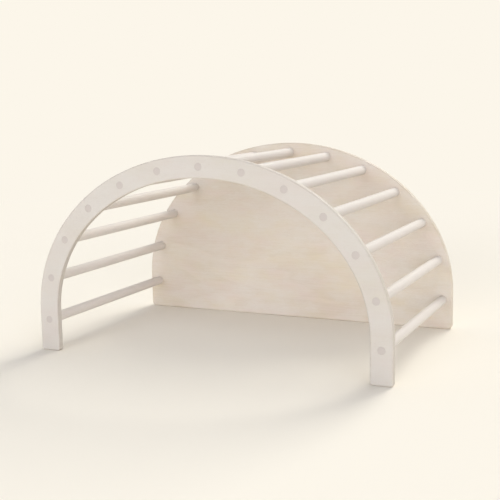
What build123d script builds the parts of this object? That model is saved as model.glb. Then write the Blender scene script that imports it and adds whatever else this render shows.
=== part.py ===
from build123d import *
import os

# Climbing arch: an open plywood arch and a closed half-moon board, joined by a row of round rungs.
# Each rung is turned down to a tenon at both ends. The tenons pass through the boards and end flush with their
# outer faces, and the shoulders behind them seat against the inner faces.
# All lengths are in millimetres. X runs along the arch, Y from the open side to the closed side, Z up.
# The origin is on the floor, under the middle of the arch.

# Overall form
arch_length = 960
arch_height = 518
arch_depth = 600
leg_height = 105

# Plywood boards
board_thickness = 18
band_width = 55
foot_corner_radius = 6
panel_corner_radius = 12
edge_chamfer = 2

# Rungs
rung_count = 13
rung_diameter = 26
shoulder_width = 3.5
lowest_rung_height = 83

# Radial room for glue between a tenon and its bore
glue_gap = 0.1

# Places along the depth, as distances from the middle plane
outer_face = arch_depth / 2
inner_face = outer_face - board_thickness

half_turn = 180


# The line of the arch, from the left foot up over the crown and down to the right foot: a half ellipse on two
# straight legs. The inset is measured from the outer edge of the boards.
def arch_line(inset):
    half_span = arch_length / 2 - inset
    crown_rise = arch_height - leg_height - inset
    Line((-half_span, 0), (-half_span, leg_height))
    EllipticalCenterArc((0, leg_height), half_span, crown_rise, start_angle=half_turn, arc_size=-half_turn)
    Line((half_span, leg_height), (half_span, 0))


# The arch line closed along the floor
def arch_outline(inset):
    half_span = arch_length / 2 - inset
    arch_line(inset)
    Line((half_span, 0), (-half_span, 0))


# The rungs stand evenly along the middle of the band.
with BuildLine() as rung_line:
    arch_line(band_width / 2)
rung_path = rung_line.wires()[0]
rung_pitch = (rung_path.length - 2 * lowest_rung_height) / (rung_count - 1)
rung_distances = [lowest_rung_height + rung_pitch * number for number in range(rung_count)]
rung_places = [rung_path.position_at(distance, PositionMode.LENGTH) for distance in rung_distances]
tenon_diameter = rung_diameter - 2 * shoulder_width


# Rounds the corners on the floor, eases every edge of both faces and drills a bore for each tenon.
def finish_board(board, outer_plane, corner_radius):
    fillet(board.edges().filter_by(Axis.Y).group_by(Axis.Z)[0], corner_radius)
    chamfer(board.faces().filter_by(Axis.Y).edges(), edge_chamfer)
    with Locations(outer_plane):
        with Locations(*rung_places):
            Hole(radius=tenon_diameter / 2 + glue_gap)


os.makedirs("parts", exist_ok=True)

# Open arch frame
with BuildPart() as arch_frame:
    with BuildSketch(Plane.front.offset(outer_face)):
        with BuildLine():
            arch_outline(0)
        make_face()
        with BuildLine():
            arch_outline(band_width)
        make_face(mode=Mode.SUBTRACT)
    extrude(amount=-board_thickness)
    finish_board(arch_frame, Plane.front.offset(outer_face), foot_corner_radius)
arch_frame.part.label = "arch_frame"
export_step(arch_frame.part, "parts/arch_frame.step")

# Closed side panel, with the same outline
with BuildPart() as side_panel:
    with BuildSketch(Plane.back.offset(outer_face)):
        with BuildLine():
            arch_outline(0)
        make_face()
    extrude(amount=-board_thickness)
    finish_board(side_panel, Plane.back.offset(outer_face), panel_corner_radius)
side_panel.part.label = "side_panel"
export_step(side_panel.part, "parts/side_panel.step")

# Rungs, numbered from the left foot to the right foot
for number, place in enumerate(rung_places, start=1):
    with BuildPart() as rung:
        with BuildSketch(Plane.XZ):
            with Locations(place):
                Circle(rung_diameter / 2)
        extrude(amount=inner_face, both=True)
        with BuildSketch(Plane.XZ):
            with Locations(place):
                Circle(tenon_diameter / 2)
        extrude(amount=outer_face, both=True)
    rung.part.label = f"rung_{number:02d}"
    export_step(rung.part, f"parts/{rung.part.label}.step")
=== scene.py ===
# Climbing arch: a white-washed plywood arch and a half-moon side panel, joined by thirteen round rungs.
import math

import bmesh
import bpy
import numpy as np
from mathutils import Matrix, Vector
from mathutils.geometry import tessellate_polygon


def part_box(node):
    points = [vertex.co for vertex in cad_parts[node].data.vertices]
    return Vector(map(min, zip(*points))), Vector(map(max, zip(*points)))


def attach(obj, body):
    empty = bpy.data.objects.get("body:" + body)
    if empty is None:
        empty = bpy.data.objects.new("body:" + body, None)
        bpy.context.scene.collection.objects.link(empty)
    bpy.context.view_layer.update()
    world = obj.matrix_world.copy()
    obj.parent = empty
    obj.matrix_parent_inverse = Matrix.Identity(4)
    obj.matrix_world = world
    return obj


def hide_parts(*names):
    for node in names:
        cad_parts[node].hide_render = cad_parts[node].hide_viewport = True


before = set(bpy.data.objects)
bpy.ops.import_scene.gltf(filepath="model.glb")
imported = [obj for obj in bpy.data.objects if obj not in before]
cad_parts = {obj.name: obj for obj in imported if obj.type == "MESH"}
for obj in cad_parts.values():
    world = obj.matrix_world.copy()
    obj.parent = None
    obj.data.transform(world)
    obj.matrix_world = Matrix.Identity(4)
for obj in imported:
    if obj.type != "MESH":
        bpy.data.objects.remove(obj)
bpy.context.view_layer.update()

print("frame loaded:", len(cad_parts), "nodes")
mm = 0.001
archLow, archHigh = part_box("arch_frame")
panelLow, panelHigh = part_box("side_panel")
rungNames = sorted(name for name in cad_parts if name.startswith("rung_"))


# A colour as seen on screen (0 to 255), turned into linear light.
def screenColour(red, green, blue):
    share = np.array([red, green, blue]) / 255
    linear = np.where(share <= 0.04045, share / 12.92, ((share + 0.055) / 1.055) ** 2.4)
    return (*linear.tolist(), 1.0)


# Links a socket, or sets its value.
def feed(tree, socket, value):
    if isinstance(value, bpy.types.NodeSocket):
        tree.links.new(value, socket)
    else:
        socket.default_value = value


# Adds a node: settings are its own properties, inputs go to its sockets by name or number.
def addNode(tree, kind, inputs=None, **settings):
    node = tree.nodes.new(kind)
    for name, value in settings.items():
        setattr(node, name, value)
    for name, value in (inputs or {}).items():
        feed(tree, node.inputs[name], value)
    return node


# One step of arithmetic on sockets or numbers.
def maths(tree, operation, *values, clamp=False):
    inputs = dict(enumerate(values))
    return addNode(tree, "ShaderNodeMath", inputs, operation=operation, use_clamp=clamp).outputs[0]


# Blends two colours: a factor of 0 gives the first, 1 the second.
def mixColours(tree, factor, first, second):
    return addNode(tree, "ShaderNodeMix", {0: factor, 6: first, 7: second}, data_type="RGBA").outputs[2]


# Eases a value from one range to 0..1, with smooth ends.
def easedRange(tree, value, low, high):
    inputs = {"Value": value, "From Min": low, "From Max": high}
    return addNode(tree, "ShaderNodeMapRange", inputs, interpolation_type="SMOOTHSTEP").outputs["Result"]


# A noise of 0 to 1, moved so that its middle is 0.
def centred(tree, noise):
    return maths(tree, "SUBTRACT", noise, 0.5)


# Cuts a value into even steps of 1. Each eases up from its start to its peak, then down to its end.
def cutInSteps(tree, value, start, peak):
    share = maths(tree, "FRACT", value)
    return maths(tree, "MULTIPLY", easedRange(tree, share, start, peak), easedRange(tree, share, 1.0, peak))


# Adds marks onto a start value, each times its share. Clamp keeps the sum within 0 and 1.
def addMarks(tree, start, marks, shares, clamp=False):
    total = start
    for number, (name, share) in enumerate(shares.items(), start=1):
        total = maths(tree, "MULTIPLY_ADD", marks[name], share, total, clamp=clamp and number == len(shares))
    return total


# Starts a shader group: input sockets are (name, kind, default), output sockets are (name, kind).
def newGroup(name, inputSockets, outputSockets):
    tree = bpy.data.node_groups.new(name, "ShaderNodeTree")
    for socketName, kind, value in inputSockets:
        socket = tree.interface.new_socket(socketName, in_out="INPUT", socket_type=kind)
        if value is not None:
            socket.default_value = value
    for socketName, kind in outputSockets:
        tree.interface.new_socket(socketName, in_out="OUTPUT", socket_type=kind)
    return tree, tree.nodes.new("NodeGroupInput").outputs, tree.nodes.new("NodeGroupOutput").inputs


floatKind, colourKind, vectorKind = "NodeSocketFloat", "NodeSocketColor", "NodeSocketVector"


# A point in the wood with its first axis, along the grain, and its two other axes scaled apart.
def grainPoint(tree, point, lengthways, crossways, offset):
    parts = addNode(tree, "ShaderNodeSeparateXYZ", {0: point}).outputs
    along = maths(tree, "MULTIPLY_ADD", parts[0], lengthways, offset)
    across = maths(tree, "MULTIPLY", parts[1], crossways)
    upwards = maths(tree, "MULTIPLY", parts[2], crossways)
    return addNode(tree, "ShaderNodeCombineXYZ", {0: along, 1: across, 2: upwards}).outputs[0]


streakSettings = {
    "roughness": 0.55,
    "noiseRange": (0.28, 0.72),
}


# Soft streaks along the grain, 0 to 1: noise on a point that is stretched along the first axis.
def makeStreakGroup(settings):
    tree, given, out = newGroup(
        "woodStreaks",
        [("Point", vectorKind, None), ("Lengthways", floatKind, 4.0), ("Crossways", floatKind, 60.0),
         ("Detail", floatKind, 3.0), ("Offset", floatKind, 0.0)],
        [("Streak", floatKind)],
    )
    point = grainPoint(tree, given["Point"], given["Lengthways"], given["Crossways"], given["Offset"])
    inputs = {"Vector": point, "Scale": 1.0, "Detail": given["Detail"], "Roughness": settings["roughness"]}
    noise = addNode(tree, "ShaderNodeTexNoise", inputs)
    tree.links.new(easedRange(tree, noise.outputs["Fac"], *settings["noiseRange"]), out["Streak"])
    return tree


veneerSettings = {
    "detail": 2.5,
    "roughness": 0.45,
    "distortion": 0.35,
    "lineStart": 0.1,
    "linePeak": 0.9,
}


# Veneer figure, 0 to 1: a slow field stretched along the grain is cut into even steps, and each step runs
# from pale early wood to a thin darker line, which draws long closed contours.
def makeVeneerGroup(settings):
    tree, given, out = newGroup(
        "veneerFigure",
        [("Point", vectorKind, None), ("Lengthways", floatKind, 1.3), ("Crossways", floatKind, 5.0),
         ("Lines", floatKind, 9.0), ("Offset", floatKind, 0.0)],
        [("Figure", floatKind)],
    )
    point = grainPoint(tree, given["Point"], given["Lengthways"], given["Crossways"], given["Offset"])
    inputs = {"Vector": point, "Scale": 1.0, "Detail": settings["detail"],
              "Roughness": settings["roughness"], "Distortion": settings["distortion"]}
    noise = addNode(tree, "ShaderNodeTexNoise", inputs)
    count = maths(tree, "MULTIPLY", noise.outputs["Fac"], given["Lines"])
    tree.links.new(cutInSteps(tree, count, settings["lineStart"], settings["linePeak"]), out["Figure"])
    return tree


ringSettings = {
    "bendLengthways": 2.0,
    "bendCrossways": 60.0,
    "bendDetail": 2.0,
    "lineStart": 0.2,
    "linePeak": 0.88,
    "rayTurns": 140.0,
    "rayDepth": 260.0,
    "rayDetail": 1.0,
    "rayRange": (0.55, 0.75),
}


# Growth rings, 0 to 1: the distance from the pith line, bent a little by slow noise, cut into even steps.
# Rays, 0 to 1: noise on the turn about the pith line and the distance from it.
def makeRingGroup(settings):
    tree, given, out = newGroup(
        "growthRings",
        [("Point", vectorKind, None), ("Spacing", floatKind, 2.2 * mm), ("Wobble", floatKind, 2.0 * mm)],
        [("Ring", floatKind), ("Ray", floatKind)],
    )
    slowPoint = grainPoint(tree, given["Point"], settings["bendLengthways"], settings["bendCrossways"], 0.0)
    inputs = {"Vector": slowPoint, "Scale": 1.0, "Detail": settings["bendDetail"]}
    slow = addNode(tree, "ShaderNodeTexNoise", inputs)
    bend = maths(tree, "MULTIPLY", centred(tree, slow.outputs["Fac"]), given["Wobble"])
    inputs = {0: given["Point"], 1: (0.0, 1.0, 1.0)}
    flat = addNode(tree, "ShaderNodeVectorMath", inputs, operation="MULTIPLY").outputs[0]
    length = addNode(tree, "ShaderNodeVectorMath", {0: flat}, operation="LENGTH").outputs["Value"]
    count = maths(tree, "DIVIDE", maths(tree, "ADD", length, bend), given["Spacing"])
    tree.links.new(cutInSteps(tree, count, settings["lineStart"], settings["linePeak"]), out["Ring"])

    parts = addNode(tree, "ShaderNodeSeparateXYZ", {0: given["Point"]}).outputs
    turn = maths(tree, "ARCTAN2", parts[2], parts[1])
    inputs = {0: maths(tree, "MULTIPLY", turn, settings["rayTurns"]),
              1: maths(tree, "MULTIPLY", length, settings["rayDepth"])}
    rayPoint = addNode(tree, "ShaderNodeCombineXYZ", inputs).outputs[0]
    inputs = {"Vector": rayPoint, "Scale": 1.0, "Detail": settings["rayDetail"]}
    rays = addNode(tree, "ShaderNodeTexNoise", inputs)
    tree.links.new(easedRange(tree, rays.outputs["Fac"], *settings["rayRange"]), out["Ray"])
    return tree


# Marks in the wood: repeats per metre along and across the grain, noise detail, and a place in the noise
grainMarks = {
    "bloom": (3.0, 5.0, 1.0, 36.0),
    "cloud": (12.0, 24.0, 3.0, 3.1),
    "patch": (8.0, 16.0, 3.0, 57.9),
    "streak": (13.0, 220.0, 4.0, 11.7),
    "fibre": (30.0, 800.0, 2.0, 23.9),
    "pore": (110.0, 2300.0, 0.0, 41.3),
}
# Shares say how much each mark adds, or takes away where the share is below 0
washSettings = {
    "poreRange": (0.8, 1.0),
    "darkShares": {"streak": 0.32, "figure": 0.35, "cloud": 0.3},
    # Rims painted darker: painted shade over the light the rounded edges catch
    "rimShadeShares": {"rim": 0.35},
    "unevenShares": {"streak": -0.2, "cloud": 0.9, "fibre": 0.15, "bloom": 0.7},
    "unevenMean": 0.78,  # about what those add up to, taken off again so that the cover keeps its own mean
    "wornCoverShares": {"pore": -0.25, "rim": -0.1},
    "roughness": 0.5,
    "roughShares": {"fibre": 0.1, "pore": 0.12},
    "heightShares": {"fibre": 0.5, "streak": 0.3, "pore": -0.5},
}


# Washed wood: a wood colour that leans warm or rosy in broad patches and darkens with its figure and streaks,
# under a thin wash that covers it unevenly, less in the pores. Rims carry a little less wash, as wear, and
# are painted darker as shade over the light their rounded edges catch.
def makeWashedWoodGroup(settings):
    tree, given, out = newGroup(
        "washedWood",
        [("Point", vectorKind, None), ("Figure", floatKind, 0.0), ("Rim", floatKind, 0.0),
         ("Warm Wood", colourKind, None), ("Rosy Wood", colourKind, None), ("Dark Wood", colourKind, None),
         ("Wash", colourKind, None), ("Cover", floatKind, 0.7), ("Unevenness", floatKind, 0.3),
         ("Figure Strength", floatKind, 0.5)],
        [("Color", colourKind), ("Roughness", floatKind), ("Height", floatKind)],
    )
    marks = {"figure": given["Figure"], "rim": given["Rim"]}
    for name, (lengthways, crossways, detail, offset) in grainMarks.items():
        inputs = {"Point": given["Point"], "Lengthways": lengthways, "Crossways": crossways,
                  "Detail": detail, "Offset": offset}
        marks[name] = addNode(tree, "ShaderNodeGroup", inputs, node_tree=streakGroup).outputs[0]
    marks["pore"] = easedRange(tree, marks["pore"], *settings["poreRange"])

    # How dark the wood is under the wash
    dark = addMarks(tree, 0.0, marks, settings["darkShares"])
    dark = maths(tree, "MULTIPLY", dark, given["Figure Strength"])
    # The rims are painted darker here: painted shade that tones down the light on the rounded edges.
    dark = addMarks(tree, dark, marks, settings["rimShadeShares"], clamp=True)
    hue = mixColours(tree, marks["patch"], given["Warm Wood"], given["Rosy Wood"])
    wood = mixColours(tree, dark, hue, given["Dark Wood"])

    # How much the wash covers
    uneven = addMarks(tree, 0.0, marks, settings["unevenShares"])
    uneven = maths(tree, "SUBTRACT", uneven, settings["unevenMean"])
    cover = maths(tree, "MULTIPLY_ADD", uneven, given["Unevenness"], given["Cover"])
    cover = addMarks(tree, cover, marks, settings["wornCoverShares"], clamp=True)
    tree.links.new(mixColours(tree, cover, wood, given["Wash"]), out["Color"])

    rough = addMarks(tree, settings["roughness"], marks, settings["roughShares"])
    tree.links.new(rough, out["Roughness"])
    height = addMarks(tree, 0.0, marks, settings["heightShares"])
    tree.links.new(height, out["Height"])
    return tree


plySettings = {
    "wanderScale": 18.0,
    "wanderDetail": 2.0,
    "wander": 0.3,
    "speckScale": 1400.0,
    "speckDetail": 1.0,
    "speckShare": 0.7,
    "speckStart": 0.5,
    "layerRange": (0.1, -0.1),
    "glueRange": (0.22, 0.05),
}


# Plywood layers seen on an edge: a sine wave through the board's depth makes every other layer show its end
# grain, with a thin line of glue where the wave crosses 0.
def makePlyGroup(settings):
    tree, given, out = newGroup(
        "plyLayers",
        [("Point", vectorKind, None), ("Depth", floatKind, 0.0), ("Layer", floatKind, 1.4 * mm)],
        [("End Grain", floatKind), ("Glue", floatKind)],
    )
    inputs = {"Vector": given["Point"], "Scale": settings["wanderScale"], "Detail": settings["wanderDetail"]}
    wander = addNode(tree, "ShaderNodeTexNoise", inputs)
    count = maths(tree, "DIVIDE", given["Depth"], given["Layer"])
    count = maths(tree, "MULTIPLY_ADD", centred(tree, wander.outputs["Fac"]), settings["wander"], count)
    wave = maths(tree, "SINE", maths(tree, "MULTIPLY", count, math.pi))
    inputs = {"Vector": given["Point"], "Scale": settings["speckScale"], "Detail": settings["speckDetail"]}
    speck = addNode(tree, "ShaderNodeTexNoise", inputs).outputs["Fac"]
    specks = maths(tree, "MULTIPLY_ADD", speck, settings["speckShare"], settings["speckStart"])
    layer = easedRange(tree, wave, *settings["layerRange"])
    tree.links.new(maths(tree, "MULTIPLY", layer, specks, clamp=True), out["End Grain"])
    glue = easedRange(tree, maths(tree, "ABSOLUTE", wave), *settings["glueRange"])
    tree.links.new(glue, out["Glue"])
    return tree


streakGroup = makeStreakGroup(streakSettings)
veneerGroup = makeVeneerGroup(veneerSettings)
ringGroup = makeRingGroup(ringSettings)
washedWoodGroup = makeWashedWoodGroup(washSettings)
plyGroup = makePlyGroup(plySettings)
print("shader groups made")


# A new material, with its tree and its Principled shader.
def newMaterial(name, specular):
    material = bpy.data.materials.new(name)
    material.use_nodes = True
    shader = material.node_tree.nodes["Principled BSDF"]
    shader.inputs["Specular IOR Level"].default_value = specular
    return material, material.node_tree, shader


bumpStrength = 0.6


# Bump from a height, in shares of a depth in metres.
def feedBump(tree, shader, height, depth):
    inputs = {"Height": height, "Strength": bumpStrength, "Distance": depth}
    tree.links.new(addNode(tree, "ShaderNodeBump", inputs).outputs[0], shader.inputs["Normal"])


# The washed wood group, with one piece's colours and values.
def addWashedWood(tree, settings, point, figure, rim=0.0):
    inputs = {
        "Point": point, "Figure": figure, "Rim": rim,
        "Warm Wood": settings["warmWood"], "Rosy Wood": settings["rosyWood"],
        "Dark Wood": settings["darkWood"], "Wash": settings["wash"],
        "Cover": settings["cover"], "Unevenness": settings["unevenness"],
        "Figure Strength": settings["figureStrength"],
    }
    return addNode(tree, "ShaderNodeGroup", inputs, node_tree=washedWoodGroup).outputs


# A numpy surface made a mesh object: corners, faces as lists of corner numbers, and one value per corner for
# each named attribute. Faces are turned outwards, and edges sharper than the sharp angle stay crisp.
def makePiece(name, corners, faces, attributes, material, sharpAngle=40):
    mesh = bpy.data.meshes.new(name)
    mesh.from_pydata(corners.tolist(), [], faces)
    shape = bmesh.new()
    shape.from_mesh(mesh)
    bmesh.ops.recalc_face_normals(shape, faces=shape.faces)
    shape.to_mesh(mesh)
    shape.free()
    for attributeName, (kind, key, values) in attributes.items():
        attribute = mesh.attributes.new(attributeName, kind, "POINT")
        attribute.data.foreach_set(key, np.asarray(values, np.float32).ravel())
    mesh.shade_smooth()
    mesh.set_sharp_from_angle(angle=math.radians(sharpAngle))
    mesh.materials.append(material)
    piece = bpy.data.objects.new(name, mesh)
    bpy.context.scene.collection.objects.link(piece)
    return piece


# Faces between neighbouring rows of a grid of corners, closed round each row.
def gridFaces(rowCount, perRow):
    row, place = np.meshgrid(np.arange(rowCount - 1), np.arange(perRow), indexing="ij")
    following = (place + 1) % perRow
    faces = np.stack([row * perRow + place, row * perRow + following,
                      (row + 1) * perRow + following, (row + 1) * perRow + place], -1)
    return faces.reshape(-1, 4).tolist()


rungSettings = {
    "diameter": 26 * mm,
    "tenonDiameter": 19 * mm,
    "shoulderEase": 0.6 * mm,
    "tenonEase": 0.25 * mm,
    "easeSteps": 4,
    "steps": 72,
    "pithDistance": (10 * mm, 32 * mm),
    "seed": 7,
    "warmWood": screenColour(224, 216, 203),
    "rosyWood": screenColour(226, 215, 207),
    "darkWood": screenColour(212, 201, 190),
    "wash": screenColour(227, 220, 213),
    "cover": 0.8,
    "unevenness": 0.25,
    "figureStrength": 0.6,
    "ringSpacing": 2.3 * mm,
    "ringWobble": 2.5 * mm,
    "endWood": screenColour(209, 200, 192),
    "endDark": screenColour(196, 186, 178),
    "endShares": {"ray": 0.25, "ring": 0.5, "speck": 0.4},
    "endSpeckScale": 2600.0,
    "endSpeckDetail": 1.0,
    "endFade": (1.2 * mm, 0.6 * mm),  # in from the end, where the wash gives way to bare end grain
    "endRoughness": 0.15,
    "specular": 0.06,
    "bump": 0.15 * mm,
}


# Washed dowel, with growth rings from its own pith line, and bare end grain on the two tenon ends.
def makeRungMaterial(settings, endPlane):
    material, tree, shader = newMaterial("washedDowel", settings["specular"])
    point = addNode(tree, "ShaderNodeAttribute", attribute_name="grainPoint").outputs["Vector"]
    place = addNode(tree, "ShaderNodeTexCoord").outputs["Object"]
    inputs = {"Point": point, "Spacing": settings["ringSpacing"], "Wobble": settings["ringWobble"]}
    rings = addNode(tree, "ShaderNodeGroup", inputs, node_tree=ringGroup).outputs
    wood = addWashedWood(tree, settings, point, rings["Ring"])

    inputs = {"Vector": point, "Scale": settings["endSpeckScale"], "Detail": settings["endSpeckDetail"]}
    speck = addNode(tree, "ShaderNodeTexNoise", inputs).outputs["Fac"]
    marks = {"ray": rings["Ray"], "ring": rings["Ring"], "speck": speck}
    dark = addMarks(tree, 0.0, marks, settings["endShares"], clamp=True)
    endColour = mixColours(tree, dark, settings["endWood"], settings["endDark"])
    across = maths(tree, "ABSOLUTE", addNode(tree, "ShaderNodeSeparateXYZ", {0: place}).outputs[1])
    fadeStart, fadeEnd = settings["endFade"]
    atEnd = easedRange(tree, across, endPlane - fadeStart, endPlane - fadeEnd)
    tree.links.new(mixColours(tree, atEnd, wood["Color"], endColour), shader.inputs["Base Color"])
    rough = maths(tree, "MULTIPLY_ADD", atEnd, settings["endRoughness"], wood["Roughness"])
    tree.links.new(rough, shader.inputs["Roughness"])
    feedBump(tree, shader, wood["Height"], settings["bump"])
    return material


# A rung: its side view, as half widths at places along it, turned about its axis: (r cos t, y, r sin t). The
# side view runs from the middle of one end over the tenon, the shoulder and the body to the middle of the
# other end. grainPoint is each corner's place in the wood: along the grain, then across it from the rung's
# own pith line.
def makeRung(name, centre, outerFace, innerFace, material, pith, spin, settings):
    body, tenon = settings["diameter"] / 2, settings["tenonDiameter"] / 2
    bodyEase, tenonEase = settings["shoulderEase"], settings["tenonEase"]
    turn = np.linspace(0, np.pi / 2, settings["easeSteps"] + 1)
    widths = np.concatenate([tenon - tenonEase * (1 - np.sin(turn)), [tenon],
                             body - bodyEase * (1 - np.sin(turn))])
    places = np.concatenate([-outerFace + tenonEase * (1 - np.cos(turn)), [-innerFace],
                             -innerFace + bodyEase * (1 - np.cos(turn))])
    widths = np.concatenate([widths, widths[::-1]])
    places = np.concatenate([places, -places[::-1]])
    t = np.linspace(0, 2 * np.pi, settings["steps"], endpoint=False)
    across = widths[:, None] * np.cos(t)
    upwards = widths[:, None] * np.sin(t)
    along = np.broadcast_to(places[:, None], across.shape)
    rings = np.stack([across, along, upwards], -1).reshape(-1, 3)
    ends = np.array([[0, -outerFace, 0], [0, outerFace, 0]])
    local = np.concatenate([rings, ends])
    corners = local + np.array([centre[0], 0, centre[1]])

    perRing, ringCount = settings["steps"], len(places)
    numbers = np.arange(perRing)
    following = np.roll(numbers, -1)
    lastRing = perRing * (ringCount - 1)
    firstEnd = perRing * ringCount
    faces = gridFaces(ringCount, perRing)
    faces += np.stack([numbers, following, np.full(perRing, firstEnd)], -1).tolist()
    faces += np.stack([numbers + lastRing, following + lastRing, np.full(perRing, firstEnd + 1)], -1).tolist()

    cosine, sine = math.cos(spin), math.sin(spin)
    grain = np.stack([local[:, 1] + spin, cosine * local[:, 0] - sine * local[:, 2] + pith,
                      sine * local[:, 0] + cosine * local[:, 2]], -1)
    return makePiece(name, corners, faces, {"grainPoint": ("FLOAT_VECTOR", "vector", grain)}, material)


# What both boards share
boardSettings = {
    "legHeight": 105 * mm,
    "rimRadius": 3 * mm,
    "rimMargin": 1.5 * mm,
    "rimSteps": 6,
    "curveSteps": 150,
    "cornerSteps": 10,
    "straightSteps": 4,
    "boreClearance": 0.1 * mm,
    "boreSteps": 72,
    "layer": 18 * mm / 13,  # thirteen layers in a board
    "edgeFacing": (0.8, 0.45),  # how far it faces front or back, where the layers start and are full
    "endRoughness": 0.12,
    "specular": 0.2,
}
archSettings = {
    **boardSettings,
    "bandWidth": 55 * mm,
    "cornerRadius": 6 * mm,
    "warmWood": screenColour(212, 203, 183),
    "rosyWood": screenColour(215, 200, 192),
    "darkWood": screenColour(190, 178, 161),
    "wash": screenColour(215, 209, 200),
    "endGrain": screenColour(197, 187, 176),
    "glue": screenColour(184, 171, 159),
    "cover": 0.78,
    "unevenness": 0.3,
    "figureStrength": 0.5,
    "figureLines": 8.0,
    "figureOffset": 4.0,
    "layerStrength": 0.4,
    "bump": 0.25 * mm,
}
panelSettings = {
    **boardSettings,
    "cornerRadius": 12 * mm,
    "footSteps": 60,
    "warmWood": screenColour(224, 211, 186),
    "rosyWood": screenColour(226, 209, 197),
    "darkWood": screenColour(205, 191, 167),
    "wash": screenColour(228, 220, 209),
    "endGrain": screenColour(205, 193, 178),
    "glue": screenColour(193, 179, 164),
    "cover": 0.5,
    "unevenness": 0.55,
    "figureStrength": 0.6,
    "figureLines": 9.0,
    "figureOffset": 9.0,
    "layerStrength": 0.5,
    "bump": 0.3 * mm,
}


# Board stock: veneer on the faces, and layers where the surface turns away from them, onto the edges.
def makeBoardMaterial(name, settings, outerFace):
    material, tree, shader = newMaterial(name, settings["specular"])
    coordinates = addNode(tree, "ShaderNodeTexCoord").outputs
    point = coordinates["Object"]
    rim = addNode(tree, "ShaderNodeAttribute", attribute_name="rim").outputs["Fac"]
    inputs = {"Point": point, "Lines": settings["figureLines"], "Offset": settings["figureOffset"]}
    figure = addNode(tree, "ShaderNodeGroup", inputs, node_tree=veneerGroup).outputs[0]
    wood = addWashedWood(tree, settings, point, figure, rim)

    across = addNode(tree, "ShaderNodeSeparateXYZ", {0: point}).outputs[1]
    depth = maths(tree, "SUBTRACT", across, outerFace)
    inputs = {"Point": point, "Depth": depth, "Layer": settings["layer"]}
    plies = addNode(tree, "ShaderNodeGroup", inputs, node_tree=plyGroup).outputs
    endGrain = maths(tree, "MULTIPLY", plies["End Grain"], settings["layerStrength"])
    glue = maths(tree, "MULTIPLY", plies["Glue"], settings["layerStrength"])
    layered = mixColours(tree, endGrain, wood["Color"], settings["endGrain"])
    layered = mixColours(tree, glue, layered, settings["glue"])

    facing = addNode(tree, "ShaderNodeSeparateXYZ", {0: coordinates["Normal"]}).outputs[1]
    edge = easedRange(tree, maths(tree, "ABSOLUTE", facing), *settings["edgeFacing"])
    tree.links.new(mixColours(tree, edge, wood["Color"], layered), shader.inputs["Base Color"])
    bareEnds = maths(tree, "MULTIPLY", edge, plies["End Grain"])
    rough = maths(tree, "MULTIPLY_ADD", bareEnds, settings["endRoughness"], wood["Roughness"])
    tree.links.new(rough, shader.inputs["Roughness"])
    feedBump(tree, shader, wood["Height"], settings["bump"])
    return material


# A stretch of an ellipse: centre + (a cos t, b sin t), with t in even steps of degrees and the last point
# left to the next stretch. The normal is (cos t / a, sin t / b), made one long, and turned inwards where
# side is -1.
def arcStretch(centre, radii, start, end, steps, side=1):
    t = np.radians(np.linspace(start, end, steps, endpoint=False))
    direction = np.stack([np.cos(t), np.sin(t)], -1)
    normal = direction / radii
    return centre + direction * radii, side * normal / np.linalg.norm(normal, axis=1, keepdims=True)


# A straight stretch from start to end in even steps, with one normal and the last point left to the next.
def straightStretch(start, end, normal, steps):
    share = np.linspace(0, 1, steps, endpoint=False)[:, None]
    return np.array(start) * (1 - share) + np.array(end) * share, np.tile(normal, (steps, 1)).astype(float)


# A rounded corner on the floor: a quarter circle that turns clockwise from the start angle.
def floorCorner(centreX, radius, start, steps):
    return arcStretch(np.array([centreX, radius]), np.array([radius, radius]), start, start - 90, steps)


# The outer edge that both boards share: up from the left corner, over the crown, down to the right corner.
def outerEdge(halfSpan, height, settings):
    leg, corner, straight = settings["legHeight"], settings["cornerRadius"], settings["straightSteps"]
    radii = np.array([halfSpan, height - leg])
    return [
        straightStretch((-halfSpan, corner), (-halfSpan, leg), (-1, 0), straight),
        arcStretch(np.array([0.0, leg]), radii, 180, 0, settings["curveSteps"]),
        straightStretch((halfSpan, leg), (halfSpan, corner), (1, 0), straight),
    ]


# The outline of the open arch, as points and outward normals: the outer edge, round the right foot, back
# along the inner edge, and round the left foot.
def archOutline(halfSpan, height, settings):
    leg, band, corner = settings["legHeight"], settings["bandWidth"], settings["cornerRadius"]
    straight, bend = settings["straightSteps"], settings["cornerSteps"]
    inner = halfSpan - band
    innerRadii = np.array([inner, height - leg - band])
    stretches = [
        *outerEdge(halfSpan, height, settings),
        floorCorner(halfSpan - corner, corner, 0, bend),
        straightStretch((halfSpan - corner, 0), (inner + corner, 0), (0, -1), straight),
        floorCorner(inner + corner, corner, -90, bend),
        straightStretch((inner, corner), (inner, leg), (-1, 0), straight),
        arcStretch(np.array([0.0, leg]), innerRadii, 0, 180, settings["curveSteps"], side=-1),
        straightStretch((-inner, leg), (-inner, corner), (1, 0), straight),
        floorCorner(-inner - corner, corner, 0, bend),
        straightStretch((-inner - corner, 0), (corner - halfSpan, 0), (0, -1), straight),
        floorCorner(corner - halfSpan, corner, -90, bend),
    ]
    return [np.concatenate(parts) for parts in zip(*stretches)]


# The outline of the panel: the same outer edge, closed along the floor.
def panelOutline(halfSpan, height, settings):
    corner, bend = settings["cornerRadius"], settings["cornerSteps"]
    foot = halfSpan - corner
    stretches = [
        *outerEdge(halfSpan, height, settings),
        floorCorner(foot, corner, 0, bend),
        straightStretch((foot, 0), (-foot, 0), (0, -1), settings["footSteps"]),
        floorCorner(-foot, corner, -90, bend),
    ]
    return [np.concatenate(parts) for parts in zip(*stretches)]


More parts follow.
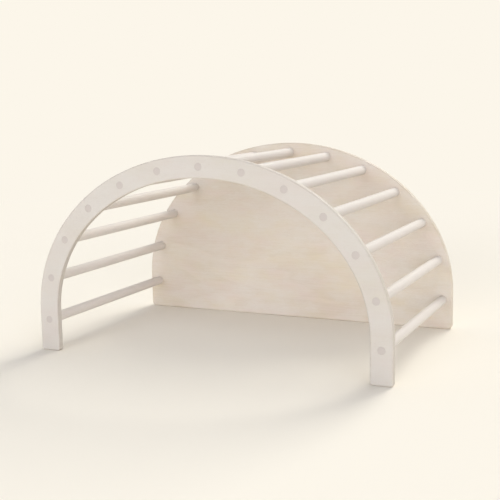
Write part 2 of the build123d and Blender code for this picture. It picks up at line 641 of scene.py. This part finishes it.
# A board: its section is carried round the outline. The section starts on one face, just inside the rim,
# turns a quarter round down to the edge, crosses it, and turns back onto the other face. Point (section,
# outline) = outline - inset(section) x normal, at depth(section). Both faces are then filled flat round the
# bores, and each bore is a round wall between them.
def makeBoard(name, outline, normals, bores, front, back, material, settings):
    radius, margin = settings["rimRadius"], settings["rimMargin"]
    turn = np.linspace(0, np.pi / 2, settings["rimSteps"] + 1)
    inset = np.concatenate([[radius + margin], radius * (1 - np.sin(turn)), [0]])
    depth = np.concatenate([[0], radius * (1 - np.cos(turn)), [radius + margin]])
    rim = np.concatenate([[0], np.ones(len(turn)), [0]])
    inset, rim = np.concatenate([inset, inset[::-1]]), np.concatenate([rim, rim[::-1]])
    across = np.concatenate([front + depth, back - depth[::-1]])
    flat = outline[None] - inset[:, None, None] * normals[None]
    rings = np.stack([flat[..., 0], np.broadcast_to(across[:, None], flat.shape[:2]), flat[..., 1]], -1)

    # Bore rims on both faces: centre + radius x (cos t, sin t)
    turnRound = np.linspace(0, 2 * np.pi, settings["boreSteps"], endpoint=False)
    boreRadius = rungSettings["tenonDiameter"] / 2 + settings["boreClearance"]
    circle = boreRadius * np.stack([np.cos(turnRound), np.sin(turnRound)], -1)
    boreFlat = bores[:, None, :] + circle[None]
    boreRims = [np.stack([boreFlat[..., 0], np.full(boreFlat.shape[:2], y), boreFlat[..., 1]], -1)
                for y in (front, back)]

    corners = np.concatenate([rings.reshape(-1, 3), boreRims[0].reshape(-1, 3), boreRims[1].reshape(-1, 3)])
    perRing, ringCount = len(outline), len(across)
    faces = gridFaces(ringCount, perRing)
    firstBore = perRing * ringCount
    boreCorners = len(bores) * settings["boreSteps"]
    boreNumbers = np.arange(boreCorners).reshape(len(bores), -1)
    following = np.roll(boreNumbers, -1, axis=1)
    walls = np.stack([boreNumbers, following, following + boreCorners, boreNumbers + boreCorners], -1)
    faces += (walls.reshape(-1, 4) + firstBore).tolist()

    # Both faces, filled between the outline's ring and the bores
    for ring, rimPoints, boreStart in ((0, boreRims[0], firstBore),
                                       (ringCount - 1, boreRims[1], firstBore + boreCorners)):
        lines = [rings[ring][:, [0, 2]]] + list(rimPoints[..., [0, 2]])
        filled = np.array(tessellate_polygon([np.c_[line, np.zeros(len(line))].tolist() for line in lines]))
        numbers = np.concatenate([ring * perRing + np.arange(perRing), boreStart + np.arange(boreCorners)])
        faces += numbers[filled].tolist()

    rimShare = np.concatenate([np.repeat(rim, perRing), np.zeros(2 * boreCorners)])
    return makePiece(name, corners, faces, {"rim": ("FLOAT", "value", rimShare)}, material)


# The bores stand where the rungs do
rungBoxes = [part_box(name) for name in rungNames]
rungPlaces = np.array([[(low.x + high.x) / 2, (low.z + high.z) / 2] for low, high in rungBoxes])

archMaterial = makeBoardMaterial("washedArchPly", archSettings, archLow.y)
panelMaterial = makeBoardMaterial("washedPanelPly", panelSettings, panelHigh.y)

archPoints, archNormals = archOutline(archHigh.x, archHigh.z, archSettings)
archBoard = makeBoard("archBoard", archPoints, archNormals, rungPlaces, archLow.y, archHigh.y, archMaterial,
                      archSettings)
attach(archBoard, "root")
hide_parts("arch_frame")
print("open arch made:", len(archBoard.data.polygons), "faces")

panelPoints, panelNormals = panelOutline(panelHigh.x, panelHigh.z, panelSettings)
panelBoard = makeBoard("panelBoard", panelPoints, panelNormals, rungPlaces, panelLow.y, panelHigh.y,
                       panelMaterial, panelSettings)
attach(panelBoard, "root")
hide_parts("side_panel")
print("side panel made:", len(panelBoard.data.polygons), "faces")

draw = np.random.default_rng(rungSettings["seed"])
rungMaterial = makeRungMaterial(rungSettings, panelHigh.y)
for node, centre in zip(rungNames, rungPlaces):
    pith = draw.uniform(*rungSettings["pithDistance"])
    spin = draw.uniform(0, 2 * math.pi)
    rung = makeRung(node.replace("rung_", "dowel"), centre, panelHigh.y, panelLow.y, rungMaterial, pith, spin,
                    rungSettings)
    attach(rung, "root")
    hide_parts(node)
print("rungs made:", len(rungNames))

# Light: a broad lamp behind the arch, a little to the right, a narrower one under it that draws the legs'
# shadows, a soft one high on each side, and two low ones in front. Floor light is what each gives the open
# floor, and with the sky's all add up to a little over 1.
backdrop = screenColour(252, 246, 234)
warmTint = (1.015, 1.0, 0.92)
coolTint = (0.98, 1.0, 1.08)
lightSettings = {
    "backLamp": {"turn": 160.0, "height": 52.0, "floorLight": 0.225, "softness": 60.0, "colour": warmTint},
    "backBeam": {"turn": 171.0, "height": 36.0, "floorLight": 0.285, "softness": 26.0, "colour": warmTint},
    "rightLamp": {"turn": 100.0, "height": 45.0, "floorLight": 0.035, "softness": 40.0, "colour": coolTint},
    "leftLamp": {"turn": -115.0, "height": 50.0, "floorLight": 0.055, "softness": 50.0, "colour": coolTint},
    "rightFill": {"turn": 45.0, "height": 12.0, "floorLight": 0.053, "softness": 30.0, "colour": coolTint},
    "frontFill": {"turn": -5.0, "height": 9.0, "floorLight": 0.056, "softness": 30.0, "colour": coolTint},
}
skySettings = {"floorLight": 0.355, "colour": coolTint}


# A sun lamp by where it stands: turn is degrees round from the open side, rightwards, and height is degrees
# above the floor.
def addSun(name, turn, height, floorLight, softness, colour):
    lamp = bpy.data.lights.new(name, "SUN")
    lamp.energy = math.pi * floorLight / math.sin(math.radians(height))
    lamp.color, lamp.angle = colour, math.radians(softness)
    sun = bpy.data.objects.new(name, lamp)
    bpy.context.scene.collection.objects.link(sun)
    sun.rotation_euler = (math.radians(90 - height), 0, math.radians(turn))


for lampName, lampSettings in lightSettings.items():
    addSun(lampName, **lampSettings)


# 1 for rays that should see the backdrop itself: from the camera, or by way of a gloss or a glass.
def seenRay(tree):
    path = addNode(tree, "ShaderNodeLightPath").outputs
    seen = maths(tree, "MAXIMUM", path["Is Camera Ray"], path["Is Glossy Ray"])
    return maths(tree, "MAXIMUM", seen, path["Is Transmission Ray"])


# An even sky that lights the arch from all round, and shows as the backdrop where it is seen itself.
def makeWorld(settings):
    world = bpy.data.worlds.new("studio")
    world.use_nodes = True
    tree = world.node_tree
    tree.nodes.clear()
    inputs = {"Color": (*settings["colour"], 1), "Strength": settings["floorLight"]}
    soft = addNode(tree, "ShaderNodeBackground", inputs)
    plain = addNode(tree, "ShaderNodeBackground", {"Color": backdrop, "Strength": 1.0})
    mix = addNode(tree, "ShaderNodeMixShader", {0: seenRay(tree), 1: soft.outputs[0], 2: plain.outputs[0]})
    addNode(tree, "ShaderNodeOutputWorld", {0: mix.outputs[0]})
    bpy.context.scene.world = world


# The floor's colour is the one that makes it render as the backdrop under these lamps, clear of any shadow.
def floorColour():
    sources = [skySettings, *lightSettings.values()]
    level = sum(source["floorLight"] * np.array(source["colour"]) for source in sources)
    return (*(np.array(backdrop[:3]) / level).tolist(), 1.0)


floorSettings = {
    "halfSize": 15.0,
    "fade": (1.8, 4.0),  # metres from the middle, where the floor passes into the backdrop
}


# A flat floor that takes the shadows near the arch and passes into the backdrop further out.
def makeFloor(settings):
    material, tree, shader = newMaterial("paleFloor", 0.0)
    shader.inputs["Base Color"].default_value = floorColour()
    shader.inputs["Roughness"].default_value = 1.0
    point = addNode(tree, "ShaderNodeTexCoord").outputs["Object"]
    away = addNode(tree, "ShaderNodeVectorMath", {0: point}, operation="LENGTH").outputs["Value"]
    faded = maths(tree, "MULTIPLY", easedRange(tree, away, *settings["fade"]), seenRay(tree))
    glow = addNode(tree, "ShaderNodeEmission", {"Color": backdrop, "Strength": 1.0})
    mix = addNode(tree, "ShaderNodeMixShader", {0: faded, 1: shader.outputs[0], 2: glow.outputs[0]})
    tree.links.new(mix.outputs[0], tree.nodes["Material Output"].inputs["Surface"])
    corners = settings["halfSize"] * np.array([[-1, -1, 0], [1, -1, 0], [1, 1, 0], [-1, 1, 0]])
    mesh = bpy.data.meshes.new("floor")
    mesh.from_pydata(corners.tolist(), [], [(0, 1, 2, 3)])
    mesh.materials.append(material)
    floor = bpy.data.objects.new("floor", mesh)
    bpy.context.scene.collection.objects.link(floor)


makeWorld(skySettings)
makeFloor(floorSettings)
print("lamps, world and floor made")

cameraSettings = {
    "place": (1.0627, -2.3314, 0.6518),
    "turn": 24.607,  # degrees to the left of straight on
    "dip": 9.025,  # degrees below level
    "roll": -1.051,
    "focalPixels": 962.44,
    "framePixels": 500,
    "sensorWidth": 36,
}


# The camera looks along forward, with its right and up axes turned about that line by the roll.
def makeCamera(settings):
    turn, dip, roll = (math.radians(settings[key]) for key in ("turn", "dip", "roll"))
    forward = np.array([-math.sin(turn) * math.cos(dip), math.cos(turn) * math.cos(dip), -math.sin(dip)])
    level = np.array([math.cos(turn), math.sin(turn), 0])
    upright = np.cross(level, forward)
    right = level * math.cos(roll) + upright * math.sin(roll)
    up = upright * math.cos(roll) - level * math.sin(roll)
    axes = np.eye(4)
    axes[:3, 0], axes[:3, 1], axes[:3, 2], axes[:3, 3] = right, up, -forward, settings["place"]
    data = bpy.data.cameras.new("photoCamera")
    data.sensor_width = settings["sensorWidth"]
    data.lens = settings["focalPixels"] / settings["framePixels"] * settings["sensorWidth"]
    camera = bpy.data.objects.new("photoCamera", data)
    bpy.context.scene.collection.objects.link(camera)
    camera.matrix_world = Matrix(axes.tolist())
    bpy.context.scene.camera = camera


makeCamera(cameraSettings)
bpy.context.scene.view_settings.view_transform = "Standard"
print("camera set")
